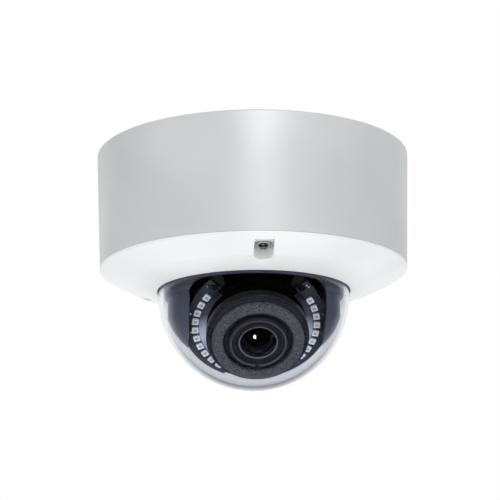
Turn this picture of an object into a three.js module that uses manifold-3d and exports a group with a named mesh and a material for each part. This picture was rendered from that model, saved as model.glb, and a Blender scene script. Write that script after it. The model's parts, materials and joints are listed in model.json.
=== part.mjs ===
// A vandal-resistant dome camera that hangs from a ceiling.
// Millimetres, +Z up, with the lens and the front screw towards -Y.
// The origin is the centre of the face that lies against the ceiling, and everything is below it.
import * as THREE from "three";
import { mergeVertices } from "three/addons/utils/BufferGeometryUtils.js";
import Module from "manifold-3d";

const wasm = await Module();
wasm.setup();

// Driving dimensions of the outside.
const TOP_R = 72.5;
const SEAM_R = 70.8;
const SEAM_Z = -53.7;
const TOP_PLATE = 4;
const WALL = 3;
const GAP = 0.3;
const EDGE = 0.8;
const SHOULDER = [68.2, -56.3];
const CREASE = [58.4, -61.3];
const OPENING_R = 44.3;
const LIP_Z = -64.6;
const COVER_WALL = 2;

// Clear bubble: a hemisphere on a short neck with a flange that is clamped inside the cover.
const DOME_R = 43.9;
const DOME_WALL = 2.2;
const CENTRE_Z = -66;
const FLANGE_R = 50.3;
const FLANGE_Z = -59.6;
const FLANGE_THICK = 2.2;
const SEAT_Z = -61;

// Three cover screws, each in a U-shaped pocket of the cover, and each above a boss of the base.
const SCREW_ANGLES = [-90, 30, 150];
const SCREW_CIRCLE = 58.5;
const POCKET_HALF = 4.3;
const POCKET_Z = -56;
const BOSS_R = 5;
const HEAD_R = 3.6;
const M4_SHANK = 1.95;
const M4_HOLE = 2.3;
const CLAMP_SCREW_CIRCLE = 54.6;

// Fixings inside the base.
const CEILING_HOLE_ANGLES = [60, 120, 230, 310];
const CEILING_HOLE_CIRCLE = 60;
const CEILING_HOLE_R = 2.5;
const POST_ANGLES = [0, 120, 240];
const POST_CIRCLE = 44;
const CHASSIS_Z = -24;
const CHASSIS_THICK = 1.5;
const BOARD_Z = -12;
const BOARD_THICK = 1.6;
const BOARD_HOLE_X = 27;
const SERVICE_Y = 35;
const SERVICE_TOP = CHASSIS_Z - CHASSIS_THICK - GAP;
const SERVICE_THICK = 1.2;
const GROMMET_Y = 54;
const GROMMET_R = 9;
const CABLE_R = 3.6;
const CONDUIT_Z = -26;
const CONDUIT_R = 12;

// Pan bracket and black liner.
const PAN_DISC_Z = -30;
const ARM_X = 30;
const ARM_THICK = 2;
const ARM_HALF = 8;
const LINER_TOP_Z = -50;
const COLLAR_R = 41.2;
const COLLAR_Z = -68;
const LINER_R = 39.4;
const LINER_WALL = 1.8;
const LINER_BOWL = { radius: 40.9, depth: 30.2, z: -69.6 };
const WINDOW_HALF = 30;
const WINDOW_TOP_Z = -64.6;
const WINDOW_CORNER = 6;
const WINDOW_REAR_Y = 35;

// Tilting camera module. Its pieces are drawn along its own +Z, which is the lens axis.
const TILT_DEG = 48;
const EAR_X = 27.2;
const FACEPLATE_S = 17;
const FACEPLATE_R = 30.6;
const FACEPLATE_LOW_R = 33;
const FACEPLATE_HALF = 29.7;
const LED_BOARD_S = 19;
const LED_CENTRE_Y = -2.2;
const LED_CIRCLE = 27.2;
const LED_FIRST_DEG = { left: 34, right: 31 };
const LED_STEP_DEG = 9.8;
const LED_COUNT = 10;
const LED_SIZE = { radial: 2.8, along: 3.5, height: 0.8 };
const SHROUD_R = 22.6;
const SKIRT_R = 23.8;
const SHROUD_S = 33.7;
const FOAM = { inner: 15.3, outer: 20.3, back: 27, front: 35.6 };
const BARREL_R = 15;
const BARREL_S = 36.3;
const GLASS_R = 8;
const GLASS_S = 31.6;

const FINISH = {
  powderCoat: { color: 0xe3e3e4, roughness: 0.55, metalness: 0.1 },
  coverPaint: { color: 0xf1f1f1, roughness: 0.35, metalness: 0.1 },
  clear: { color: 0xf5f8fb, roughness: 0.03, metalness: 0, transparent: true, opacity: 0.25 },
  glass: { color: 0x20262c, roughness: 0.03, metalness: 0 },
  black: { color: 0x17181a, roughness: 0.5, metalness: 0 },
  satinBlack: { color: 0x2c2e33, roughness: 0.25, metalness: 0.1 },
  foam: { color: 0x3b3b3d, roughness: 0.95, metalness: 0 },
  rubber: { color: 0x1c1c1c, roughness: 0.8, metalness: 0 },
  steel: { color: 0xb8b8ba, roughness: 0.3, metalness: 1 },
  aluminium: { color: 0xc4c6c8, roughness: 0.4, metalness: 1 },
  board: { color: 0x14532b, roughness: 0.5, metalness: 0 },
  connector: { color: 0xe8e4d8, roughness: 0.5, metalness: 0 },
};
const materials = {};
for (const [name, settings] of Object.entries(FINISH)) {
  materials[name] = new THREE.MeshStandardMaterial(settings);
}

const radians = THREE.MathUtils.degToRad;
const degrees = THREE.MathUtils.radToDeg;
const camera = new THREE.Group();
const tiltGroup = new THREE.Group();
tiltGroup.position.z = CENTRE_Z;
tiltGroup.rotation.x = radians(90 + TILT_DEG);
camera.add(tiltGroup);

// A closed geometry as a solid that can be joined and cut.
function solid(geometry) {
  const bare = geometry.clone();
  bare.deleteAttribute("normal");
  bare.deleteAttribute("uv");
  const merged = mergeVertices(bare, 1e-4);
  const vertProperties = merged.attributes.position.array;
  const triVerts = new Uint32Array(merged.index.array);
  return new wasm.Manifold(new wasm.Mesh({ numProp: 3, vertProperties, triVerts }));
}

function geometryOf(body) {
  const mesh = body.getMesh();
  const geometry = new THREE.BufferGeometry();
  geometry.setAttribute("position", new THREE.BufferAttribute(mesh.vertProperties, 3));
  geometry.setIndex(new THREE.BufferAttribute(mesh.triVerts, 1));
  geometry.computeVertexNormals();
  return geometry;
}

function add(parent, name, body, material) {
  const mesh = new THREE.Mesh(geometryOf(body), materials[material]);
  mesh.name = name;
  parent.add(mesh);
}

// A turned piece. Its outline is [radius, z] points that go up the outside and come down the inside.
function turned(outline, segments = 40) {
  const points = outline.map(([r, z]) => new THREE.Vector2(r, z));
  return solid(new THREE.LatheGeometry(points, segments).rotateX(Math.PI / 2));
}

function ring(inner, outer, low, high, segments = 40) {
  return turned([[inner, low], [outer, low], [outer, high], [inner, high], [inner, low]], segments);
}

function rod(radius, low, high, segments = 16) {
  return turned([[0, low], [radius, low], [radius, high], [0, high]], segments);
}

function block(x0, x1, y0, y1, z0, z1) {
  const geometry = new THREE.BoxGeometry(x1 - x0, y1 - y0, z1 - z0);
  return solid(geometry.translate((x0 + x1) / 2, (y0 + y1) / 2, (z0 + z1) / 2));
}

function plate(shape, low, high, curveSegments = 5) {
  const settings = { depth: high - low, bevelEnabled: false, curveSegments };
  return solid(new THREE.ExtrudeGeometry(shape, settings).translate(0, 0, low));
}

// A rectangle with round corners, centred on (x, y).
function roundedRectangle(x, y, width, height, corner) {
  const shape = new THREE.Shape();
  const [right, top] = [x + width / 2, y + height / 2];
  const [left, bottom] = [x - width / 2, y - height / 2];
  shape.absarc(right - corner, bottom + corner, corner, -Math.PI / 2, 0);
  shape.absarc(right - corner, top - corner, corner, 0, Math.PI / 2);
  shape.absarc(left + corner, top - corner, corner, Math.PI / 2, Math.PI);
  shape.absarc(left + corner, bottom + corner, corner, Math.PI, Math.PI * 1.5);
  return shape;
}

// Places on a circle around the vertical axis.
function onCircle(radius, angle) {
  return [radius * Math.cos(radians(angle)), radius * Math.sin(radians(angle))];
}

function moved(body, x, y, z = 0) {
  return body.translate([x, y, z]);
}

// A rod along X, for pivots and their holes.
function crossRod(radius, x0, x1, y, z, segments = 20) {
  return rod(radius, x0, x1, segments).rotate([0, 90, 0]).translate([0, y, z]);
}

// ---- Base that is screwed to the ceiling ----

function baseHousing() {
  const innerTop = TOP_R - WALL;
  const innerSeam = SEAM_R - WALL;
  let body = turned([
    [0, -TOP_PLATE], [innerTop, -TOP_PLATE], [innerSeam, SEAM_Z], [SEAM_R, SEAM_Z],
    [TOP_R, -EDGE], [TOP_R - EDGE, 0], [0, 0],
  ], 48);
  for (const angle of SCREW_ANGLES) {
    const [x, y] = onCircle(SCREW_CIRCLE, angle);
    const boss = moved(rod(BOSS_R, SEAM_Z + 0.6, -TOP_PLATE + 1), x, y);
    const rib = block(SCREW_CIRCLE, SEAM_R - 1.5, -1.2, 1.2, SEAM_Z + 6, -TOP_PLATE + 1);
    body = body.add(boss).add(rib.rotate([0, 0, angle]));
    body = body.subtract(moved(rod(M4_HOLE, SEAM_Z, SEAM_Z + 18), x, y));
  }
  for (const angle of POST_ANGLES) {
    const [x, y] = onCircle(POST_CIRCLE, angle);
    body = body.add(moved(rod(3.4, CHASSIS_Z + GAP, -TOP_PLATE + 1), x, y));
    body = body.subtract(moved(rod(1.7, CHASSIS_Z, CHASSIS_Z + 9, 16), x, y));
  }
  for (const angle of CEILING_HOLE_ANGLES) {
    const [x, y] = onCircle(CEILING_HOLE_CIRCLE, angle);
    body = body.subtract(moved(rod(CEILING_HOLE_R, -TOP_PLATE - 1, 1, 20), x, y));
  }
  body = body.subtract(moved(rod(GROMMET_R, -TOP_PLATE - 1, 1, 32), 0, GROMMET_Y));
  const conduit = rod(CONDUIT_R + GAP, 60, 80, 32).rotate([-90, 0, 0]).translate([0, 0, CONDUIT_Z]);
  return body.subtract(conduit);
}

// Rubber grommet of the ceiling-side cable entry, flush with the ceiling face.
function cableGrommet() {
  const body = turned([
    [CABLE_R, -TOP_PLATE - 2.5], [GROMMET_R + 2, -TOP_PLATE - 2.5], [GROMMET_R + 2, -TOP_PLATE - GAP],
    [GROMMET_R - GAP, -TOP_PLATE - GAP], [GROMMET_R - GAP, -0.2], [CABLE_R + 1.5, -0.2], [CABLE_R, -1.7],
    [CABLE_R, -TOP_PLATE - 2.5],
  ], 24);
  return moved(body, 0, GROMMET_Y);
}

// Plug of the side conduit hole, with a slot for a coin.
function conduitPlug() {
  const body = turned([
    [0, 65], [CONDUIT_R - 3, 65], [CONDUIT_R, 66], [CONDUIT_R, 70.2], [CONDUIT_R - 0.6, 70.6], [0, 70.6],
  ], 24);
  const slot = block(-7, 7, -1, 1, 69, 72);
  return body.subtract(slot).rotate([-90, 0, 0]).translate([0, 0, CONDUIT_Z]);
}

// ---- Cover with the clear dome ----

// A slot with one round end, which points towards the axis.
function pocketShape(half, inner, outer) {
  const shape = new THREE.Shape();
  shape.moveTo(outer, -half);
  shape.lineTo(outer, half);
  shape.absarc(inner, 0, half, Math.PI / 2, Math.PI * 1.5);
  return shape;
}

function coverRing() {
  const tongueR = SEAM_R - WALL - GAP;
  let body = turned([
    [OPENING_R, LIP_Z + 0.3], [OPENING_R + 0.3, LIP_Z], CREASE, SHOULDER, [69.9, -55.4],
    [SEAM_R, -54.6], [SEAM_R, SEAM_Z - GAP], [tongueR, SEAM_Z - GAP], [tongueR, SEAM_Z + 3],
    [tongueR - 2.2, SEAM_Z + 3], [tongueR - 2.2, -55.2], [CREASE[0] - 0.4, CREASE[1] + COVER_WALL],
    [FLANGE_R + 1.6, SEAT_Z + 0.8], [FLANGE_R + 0.6, SEAT_Z], [OPENING_R, SEAT_Z], [OPENING_R, LIP_Z + 0.3],
  ], 48);
  const envelope = turned([
    [0, LIP_Z], [OPENING_R, LIP_Z], CREASE, SHOULDER, [SHOULDER[0], -50], [0, -50],
  ], 48);
  const lump = plate(pocketShape(POCKET_HALF + 2, SCREW_CIRCLE, 65.6), -62, SEAM_Z + 0.2);
  const walls = lump.intersect(envelope);
  const hollow = plate(pocketShape(POCKET_HALF, SCREW_CIRCLE, 67.5), -70, POCKET_Z, 10);
  for (const angle of SCREW_ANGLES) {
    const [x, y] = onCircle(SCREW_CIRCLE, angle);
    body = body.add(walls.rotate([0, 0, angle])).subtract(hollow.rotate([0, 0, angle]));
    body = body.subtract(moved(rod(M4_HOLE, -60, -50), x, y));
  }
  for (const angle of SCREW_ANGLES) {
    const [x, y] = onCircle(CLAMP_SCREW_CIRCLE, angle + 180);
    body = body.add(moved(rod(2.6, -61.2, FLANGE_Z + FLANGE_THICK - 0.1, 16), x, y));
    body = body.subtract(moved(rod(1.35, -60.2, -54, 12), x, y));
  }
  return body;
}

function coverScrew(angle) {
  const under = POCKET_Z - 0.2;
  const head = turned([
    [0, under - 2.3], [1.9, under - 2.3], [3.1, under - 1.9], [HEAD_R, under - 0.9], [HEAD_R, under],
    [M4_SHANK, under], [M4_SHANK, -45], [M4_SHANK - 0.6, -44], [0, -44],
  ], 16);
  const socket = rod(1.15, under - 3, under - 1, 6).subtract(rod(0.4, under - 3, under - 1, 8));
  const [x, y] = onCircle(SCREW_CIRCLE, angle);
  return moved(head.subtract(socket), x, y);
}

// Points [r, z] along an arc around (0, z), in degrees from the horizontal.
function arcPoints(radius, from, to, steps, z, squash = 1) {
  return Array.from({ length: steps + 1 }, (_, i) => {
    const angle = radians(from + ((to - from) * i) / steps);
    return [radius * Math.cos(angle), z + squash * radius * Math.sin(angle)];
  });
}

function domeBubble() {
  const inner = DOME_R - DOME_WALL;
  const top = FLANGE_Z + FLANGE_THICK;
  return turned([
    [0, CENTRE_Z - DOME_R], ...arcPoints(DOME_R, -78, 0, 6, CENTRE_Z), [DOME_R, FLANGE_Z],
    [FLANGE_R, FLANGE_Z], [FLANGE_R, top], [inner, top], ...arcPoints(inner, 0, -78, 6, CENTRE_Z),
    [0, CENTRE_Z - inner],
  ], 48);
}

function clampRing() {
  const low = FLANGE_Z + FLANGE_THICK + 0.2;
  let body = ring(42.2, 51.6, low, low + 1.8, 40);
  for (const angle of SCREW_ANGLES) {
    const [x, y] = onCircle(CLAMP_SCREW_CIRCLE, angle + 180);
    const ear = plate(pocketShape(3.2, 0, 4.5), low, low + 1.8).rotate([0, 0, angle]);
    body = body.add(moved(ear, x, y));
    body = body.subtract(moved(rod(1.7, low - 1, low + 3, 16), x, y));
  }
  return body;
}

function clampScrew(angle) {
  const top = FLANGE_Z + FLANGE_THICK + 2.3;
  const [x, y] = onCircle(CLAMP_SCREW_CIRCLE, angle + 180);
  const body = turned([
    [0, top - 4.6], [1.05, top - 4.6], [1.05, top], [2.6, top], [2.6, top + 1], [1.6, top + 1.5],
    [0, top + 1.5],
  ], 16);
  const slot = block(-1.4, 1.4, -0.3, 0.3, top + 0.9, top + 3);
  return moved(body.subtract(slot), x, y);
}

// ---- Chassis and electronics in the base ----

function chassisPlate() {
  const low = CHASSIS_Z - CHASSIS_THICK;
  let body = ring(6.2, 48, low, CHASSIS_Z, 32);
  for (const angle of POST_ANGLES) {
    const [x, y] = onCircle(POST_CIRCLE, angle);
    body = body.subtract(moved(rod(1.9, low - 1, CHASSIS_Z + 1, 16), x, y));
  }
  const wireSlot = plate(roundedRectangle(0, 40, 16, 6, 2.9), low - 1, CHASSIS_Z + 1);
  return body.subtract(wireSlot);
}

function chassisScrew(angle) {
  const under = CHASSIS_Z - CHASSIS_THICK - 0.2;
  const [x, y] = onCircle(POST_CIRCLE, angle);
  const body = turned([
    [0, under - 1.8], [1.8, under - 1.8], [2.8, under - 1], [2.8, under], [1.35, under],
    [1.35, -17], [0, -17],
  ], 16);
  const slot = block(-1.6, 1.6, -0.35, 0.35, under - 3, under - 1);
  return moved(body.subtract(slot).subtract(slot.rotate([0, 0, 90])), x, y);
}

function mainBoard() {
  let body = plate(roundedRectangle(0, 0, 62, 54, 3), BOARD_Z - BOARD_THICK, BOARD_Z);
  for (const x of [-BOARD_HOLE_X, BOARD_HOLE_X]) {
    body = body.subtract(moved(rod(1.6, -20, -5, 12), x, 0));
  }
  return body;
}

function boardSpacer(x) {
  return moved(ring(1.7, 3, CHASSIS_Z + GAP, BOARD_Z - BOARD_THICK - GAP, 16), x, 0);
}

// Heat sink on the processor, with straight fins.
function heatSink() {
  const low = BOARD_Z + GAP;
  let body = block(-13, 13, -13, 13, low, low + 1.5);
  for (let x = -12; x <= 12; x += 4) {
    body = body.add(block(x - 0.5, x + 0.5, -13, 13, low + 1, low + 6));
  }
  return body;
}

// A wire-to-board connector: an open box with a row of pins' worth of space inside.
function boardConnector(x, y, width) {
  const low = BOARD_Z + GAP;
  const shell = block(x - width / 2, x + width / 2, y - 3, y + 3, low, low + 6);
  return shell.subtract(block(x - width / 2 + 1, x + width / 2 - 1, y - 2, y + 2, low + 1.5, low + 7));
}

// Service board on the underside of the chassis, where it can be reached with the cover off.
function serviceBoard() {
  return block(-38, -22, SERVICE_Y - 22, SERVICE_Y - 5, SERVICE_TOP - SERVICE_THICK, SERVICE_TOP);
}

function memoryCardSocket() {
  const top = SERVICE_TOP - SERVICE_THICK - GAP;
  const shell = block(-37, -23, SERVICE_Y - 21, SERVICE_Y - 12, top - 1.9, top);
  return shell.subtract(block(-36, -24, SERVICE_Y - 30, SERVICE_Y - 13, top - 1.4, top - 0.5));
}

function resetSwitch() {
  const top = SERVICE_TOP - SERVICE_THICK - GAP;
  const body = block(-33, -27, SERVICE_Y - 11, SERVICE_Y - 6, top - 3.2, top);
  return body.subtract(moved(rod(1.9, top - 4, top - 1.2, 16), -30, SERVICE_Y - 8.5));
}

function resetButton() {
  const top = SERVICE_TOP - SERVICE_THICK - GAP;
  return moved(rod(1.5, top - 4.6, top - 2.1, 16), -30, SERVICE_Y - 8.5);
}

// ---- Pan stage ----

// Friction ring under the chassis that the pan bracket turns on.
function panRing() {
  return ring(17, 22, CHASSIS_Z - CHASSIS_THICK - 4.2, CHASSIS_Z - CHASSIS_THICK - GAP, 40);
}

// Hollow shoulder bolt of the pan axis. The wires to the lens run down its bore.
function panPivot() {
  return turned([
    [3, PAN_DISC_Z - 4.3], [9, PAN_DISC_Z - 4.3], [9, PAN_DISC_Z - 2.3], [5.6, PAN_DISC_Z - 2.3],
    [5.6, CHASSIS_Z + 4.5], [3, CHASSIS_Z + 4.5], [3, PAN_DISC_Z - 4.3],
  ], 24);
}

function panNut() {
  return rod(9, CHASSIS_Z + GAP, CHASSIS_Z + 4, 6).subtract(rod(5.9, CHASSIS_Z, CHASSIS_Z + 5, 24));
}

function panBracket() {
  let body = ring(6, 29, PAN_DISC_Z - 2, PAN_DISC_Z, 32);
  for (const side of [-1, 1]) {
    const outline = new THREE.Shape();
    outline.moveTo(-ARM_HALF, PAN_DISC_Z);
    outline.absarc(0, CENTRE_Z, ARM_HALF, Math.PI, Math.PI * 2);
    outline.lineTo(ARM_HALF, PAN_DISC_Z);
    const arm = plate(outline, ARM_X, ARM_X + ARM_THICK, 8).rotate([90, 0, 90]);
    const foot = block(20, ARM_X + ARM_THICK, -ARM_HALF, ARM_HALF, PAN_DISC_Z - 2, PAN_DISC_Z);
    const turn = [0, 0, side > 0 ? 0 : 180];
    body = body.add(arm.add(foot).rotate(turn));
  }
  return body.subtract(crossRod(M4_HOLE, -40, 40, 0, CENTRE_Z));
}

// Black liner that hides the works. The window lets the lens and LEDs look out at every tilt.
function innerLiner() {
  const { radius, depth, z } = LINER_BOWL;
  const squash = depth / radius;
  const innerRadius = radius - LINER_WALL;
  const innerSquash = (depth - LINER_WALL) / innerRadius;
  const from = degrees(Math.acos(LINER_R / radius));
  const innerFrom = degrees(Math.acos((LINER_R - LINER_WALL) / innerRadius));
  let body = turned([
    [0, z - depth], ...arcPoints(radius, -82, -from, 6, z, squash), [LINER_R, COLLAR_Z - 0.6],
    [COLLAR_R, COLLAR_Z], [COLLAR_R, LINER_TOP_Z], [COLLAR_R - LINER_WALL - 1.4, LINER_TOP_Z],
    ...arcPoints(innerRadius, -innerFrom, -82, 6, z, innerSquash), [0, z - depth + LINER_WALL],
  ], 48);
  for (const side of [-1, 1]) {
    const lug = block(ARM_X + ARM_THICK + GAP, LINER_R - 1, -5, 5, LINER_TOP_Z - 8, LINER_TOP_Z - 5);
    body = body.add(lug.rotate([0, 0, side > 0 ? 0 : 180]));
  }
  const height = 60;
  const opening = roundedRectangle(0, WINDOW_TOP_Z - height / 2, 2 * WINDOW_HALF, height, WINDOW_CORNER);
  const cut = plate(opening, -WINDOW_REAR_Y, 60).rotate([90, 0, 0]);
  return body.subtract(cut);
}

// ---- Tilting module, drawn along the lens axis ----

// Rear plate of the tilting module, with an ear on each side for the tilt pivots.
function tiltCradle() {
  let body = plate(roundedRectangle(0, 0, 2 * EAR_X + 3, 42, 8), -2, 0).subtract(rod(17.5, -3, 1, 32));
  for (const side of [-1, 1]) {
    const ear = block(EAR_X, EAR_X + 2, -9, 9, -6, FACEPLATE_S - GAP);
    body = body.add(ear.rotate([0, 0, side > 0 ? 0 : 180]));
  }
  return body.subtract(crossRod(M4_HOLE, -40, 40, 0, 0));
}

function tiltPivot(side) {
  const start = EAR_X - 1.5;
  const arm = ARM_X + ARM_THICK;
  const body = turned([
    [0, start], [1.9, start], [1.9, arm + GAP], [4.2, arm + GAP], [4.5, arm + 0.8], [4.5, arm + 2],
    [4, arm + 2.4], [0, arm + 2.4],
  ], 20);
  const slot = block(-3, 3, -0.5, 0.5, arm + 1.6, arm + 4);
  return body.subtract(slot).rotate([0, 90 * side, 0]);
}

// Right half of the plate's edge, from above the lens down to the given angle. It is straight at the side,
// next to the edge of the liner's window, and wider below.
function plateEdge(shape, topDeg, bottomDeg) {
  const upper = Math.acos(FACEPLATE_HALF / FACEPLATE_R);
  const lower = -Math.acos(FACEPLATE_HALF / FACEPLATE_LOW_R);
  shape.absarc(0, 0, FACEPLATE_R, radians(topDeg), upper, true);
  shape.absarc(0, 0, FACEPLATE_LOW_R, lower, radians(bottomDeg), true);
}

// Front plate with the round lens hole and the notch over the lens, between the two LED wings.
function faceplate() {
  const half = new THREE.Shape();
  plateEdge(half, 90, -90);
  half.lineTo(-1, -FACEPLATE_LOW_R);
  half.lineTo(-1, FACEPLATE_R);
  const right = plate(half, FACEPLATE_S, FACEPLATE_S + 1.7, 12);
  const notch = new THREE.Shape();
  notch.moveTo(-12, 12);
  notch.lineTo(12, 12);
  notch.lineTo(19, 34);
  notch.lineTo(-19, 34);
  return right.add(right.mirror([1, 0, 0]))
    .subtract(rod(16.6, FACEPLATE_S - 1, FACEPLATE_S + 3, 40))
    .subtract(plate(notch, FACEPLATE_S - 1, FACEPLATE_S + 3));
}

// One LED board: a crescent outside the skirt of the shroud, with its row of LEDs.
function ledBoard(side, firstDeg) {
  const shape = new THREE.Shape();
  plateEdge(shape, 48, -66);
  shape.absarc(0, 0, SKIRT_R + GAP, radians(-66), radians(48));
  let body = plate(shape, LED_BOARD_S, LED_BOARD_S + 1, 10);
  for (let i = 0; i < LED_COUNT; i++) {
    const angle = firstDeg - i * LED_STEP_DEG;
    const [x, y] = onCircle(LED_CIRCLE, angle);
    const { radial, along, height } = LED_SIZE;
    const low = LED_BOARD_S + 0.5;
    const chip = block(-radial / 2, radial / 2, -along / 2, along / 2, low, low + 0.5 + height);
    body = body.add(chip.rotate([0, 0, angle]).translate([x, y + LED_CENTRE_Y, 0]));
  }
  return side > 0 ? body : body.mirror([1, 0, 0]);
}

function lightSensor() {
  const [x, y] = onCircle(28.5, 42);
  return moved(rod(1, LED_BOARD_S + 1 + GAP, LED_BOARD_S + 2.2, 12), -x, y);
}

// Light-tight wall around the lens with a flared skirt, and a recess that holds the foam ring.
function lensShroud() {
  const bottom = FACEPLATE_S + 1.7 + GAP;
  const recess = FOAM.outer + GAP;
  const shelf = FOAM.back - GAP;
  return turned([
    [16.6, bottom], [SKIRT_R, bottom], [SKIRT_R, bottom + 1.4], [23.2, 23.5], [SHROUD_R, 27],
    [SHROUD_R, SHROUD_S - 1.6], [SHROUD_R - 0.8, SHROUD_S - 0.9], [SHROUD_R - 1, SHROUD_S],
    [recess, SHROUD_S], [recess, shelf], [16.6, shelf], [16.6, bottom],
  ], 32);
}

function foamRing() {
  const { inner, outer, back, front } = FOAM;
  return turned([
    [inner, back], [outer, back], [outer, front - 1], [outer - 0.6, front], [inner + 0.6, front],
    [inner, front - 0.8], [inner, back],
  ], 32);
}

// ---- Lens and sensor, which roll about the lens axis ----

// Holder behind the lens: a box for the sensor, a flange and a hub that the roll ring turns on.
function lensHolder() {
  const box = plate(roundedRectangle(0, 0, 34, 34, 4), -12, -4.6);
  const flange = rod(20, -5, -2.3, 32);
  const hub = rod(17.1, -3, 2, 32);
  const cavity = plate(roundedRectangle(0, 0, 27, 27, 3), -13, -9.5);
  return box.add(flange).add(hub).subtract(rod(12.3, -14, 4, 32)).subtract(cavity);
}

function sensorBoard() {
  let body = plate(roundedRectangle(0, 0, 34, 34, 2), -14, -12.3);
  for (const [x, y] of [[-14, -14], [14, -14], [-14, 14], [14, 14]]) {
    body = body.subtract(moved(rod(1.1, -16, -10, 12), x, y));
  }
  return body;
}

function lensBarrel() {
  return turned([
    [GLASS_R - 2, -9.2], [12, -9.2], [12, 2.3], [13, 2.3], [13, 22], [BARREL_R, 23],
    [BARREL_R, 33.6], [13.3, 33.8], [13.3, BARREL_S - 0.5], [12.7, BARREL_S], [11.6, BARREL_S],
    [11, BARREL_S - 1.2], [10.4, BARREL_S - 1.2], [9, BARREL_S - 0.5], [GLASS_R + GAP, BARREL_S - 0.7],
    [GLASS_R + GAP, GLASS_S - 1], [GLASS_R - 2, GLASS_S - 1], [GLASS_R - 2, -9.2],
  ], 28);
}

// Front element of the lens.
function frontLens() {
  return turned([
    [0, GLASS_S], [GLASS_R, GLASS_S], [GLASS_R, GLASS_S + 3.4], [7.2, GLASS_S + 4.2], [5.4, GLASS_S + 5],
    [2.8, GLASS_S + 5.5], [0, GLASS_S + 5.6],
  ], 32);
}

function rearLens() {
  return turned([[0, -8], [4.2, -7.4], [5.6, -6.6], [5.6, -4], [0, -4]], 32);
}

function adjustingRing(low, high) {
  const screwHole = rod(1.35, 0, 30, 12).rotate([90, 0, 0]).translate([0, 0, (low + high) / 2]);
  return ring(13.4, 16.2, low, high, 32).subtract(screwHole);
}

// Thumb screw that locks a lens ring. It stands out from the rear of the ring.
function lockScrew(middle) {
  const body = turned([
    [0, 13.9], [1, 13.9], [1, 16.6], [1.9, 16.6], [1.9, 21], [1.5, 21.4], [0, 21.4],
  ], 16);
  return body.rotate([90, 0, 0]).translate([0, 0, middle]);
}

// ---- Assembly ----

add(camera, "base_housing", baseHousing(), "powderCoat");
add(camera, "cable_grommet", cableGrommet(), "rubber");
add(camera, "conduit_plug", conduitPlug(), "powderCoat");
add(camera, "cover_ring", coverRing(), "coverPaint");
add(camera, "cover_gasket", ring(65.6, 67.1, SEAM_Z + 3.3, SEAM_Z + 4.9, 40), "rubber");
add(camera, "dome_bubble", domeBubble(), "clear");
add(camera, "dome_gasket", ring(OPENING_R + 0.6, FLANGE_R, SEAT_Z + 0.2, FLANGE_Z - 0.2, 40), "rubber");
add(camera, "dome_clamp_ring", clampRing(), "steel");
add(camera, "chassis_plate", chassisPlate(), "steel");
add(camera, "main_board", mainBoard(), "board");
add(camera, "heat_sink", heatSink(), "aluminium");
add(camera, "network_connector", boardConnector(-20, 20, 14), "connector");
add(camera, "power_connector", boardConnector(18, 20, 9), "connector");
add(camera, "service_board", serviceBoard(), "board");
add(camera, "memory_card_socket", memoryCardSocket(), "steel");
add(camera, "reset_switch", resetSwitch(), "black");
add(camera, "reset_button", resetButton(), "connector");
add(camera, "pan_ring", panRing(), "black");
add(camera, "pan_pivot", panPivot(), "steel");
add(camera, "pan_nut", panNut(), "steel");
SCREW_ANGLES.forEach((angle, i) => {
  add(camera, `cover_screw_${i + 1}`, coverScrew(angle), "steel");
  add(camera, `clamp_screw_${i + 1}`, clampScrew(angle), "steel");
});
POST_ANGLES.forEach((angle, i) => add(camera, `chassis_screw_${i + 1}`, chassisScrew(angle), "steel"));
[-BOARD_HOLE_X, BOARD_HOLE_X].forEach((x, i) => {
  add(camera, `board_spacer_${i + 1}`, boardSpacer(x), "steel");
});

add(camera, "pan_bracket", panBracket(), "steel");
add(camera, "inner_liner", innerLiner(), "satinBlack");

add(tiltGroup, "tilt_cradle", tiltCradle(), "black");
add(tiltGroup, "tilt_pivot_left", tiltPivot(-1), "steel");
add(tiltGroup, "tilt_pivot_right", tiltPivot(1), "steel");
add(tiltGroup, "led_faceplate", faceplate(), "black");
add(tiltGroup, "led_board_left", ledBoard(-1, LED_FIRST_DEG.left), "satinBlack");
add(tiltGroup, "led_board_right", ledBoard(1, LED_FIRST_DEG.right), "satinBlack");
add(tiltGroup, "light_sensor", lightSensor(), "connector");
add(tiltGroup, "lens_shroud", lensShroud(), "satinBlack");
add(tiltGroup, "foam_ring", foamRing(), "foam");

add(tiltGroup, "lens_holder", lensHolder(), "black");
add(tiltGroup, "roll_ring", ring(17.4, 19.6, GAP, 1.8, 32), "black");
add(tiltGroup, "sensor_board", sensorBoard(), "board");
add(tiltGroup, "image_sensor", block(-6, 6, -4.5, 4.5, -12, -10.4), "black");
add(tiltGroup, "lens_barrel", lensBarrel(), "black");
add(tiltGroup, "front_lens", frontLens(), "glass");
add(tiltGroup, "rear_lens", rearLens(), "glass");

add(tiltGroup, "zoom_ring", adjustingRing(3, 7.4), "black");
add(tiltGroup, "zoom_lock_screw", lockScrew(5.2), "steel");
add(tiltGroup, "focus_ring", adjustingRing(8.4, 12.8), "black");
add(tiltGroup, "focus_lock_screw", lockScrew(10.6), "steel");

export default camera;
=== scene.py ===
"""Looks of the ceiling dome camera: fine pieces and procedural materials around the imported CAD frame."""

import json
import math

import bmesh
import bpy
from mathutils import Matrix, Vector


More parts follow.
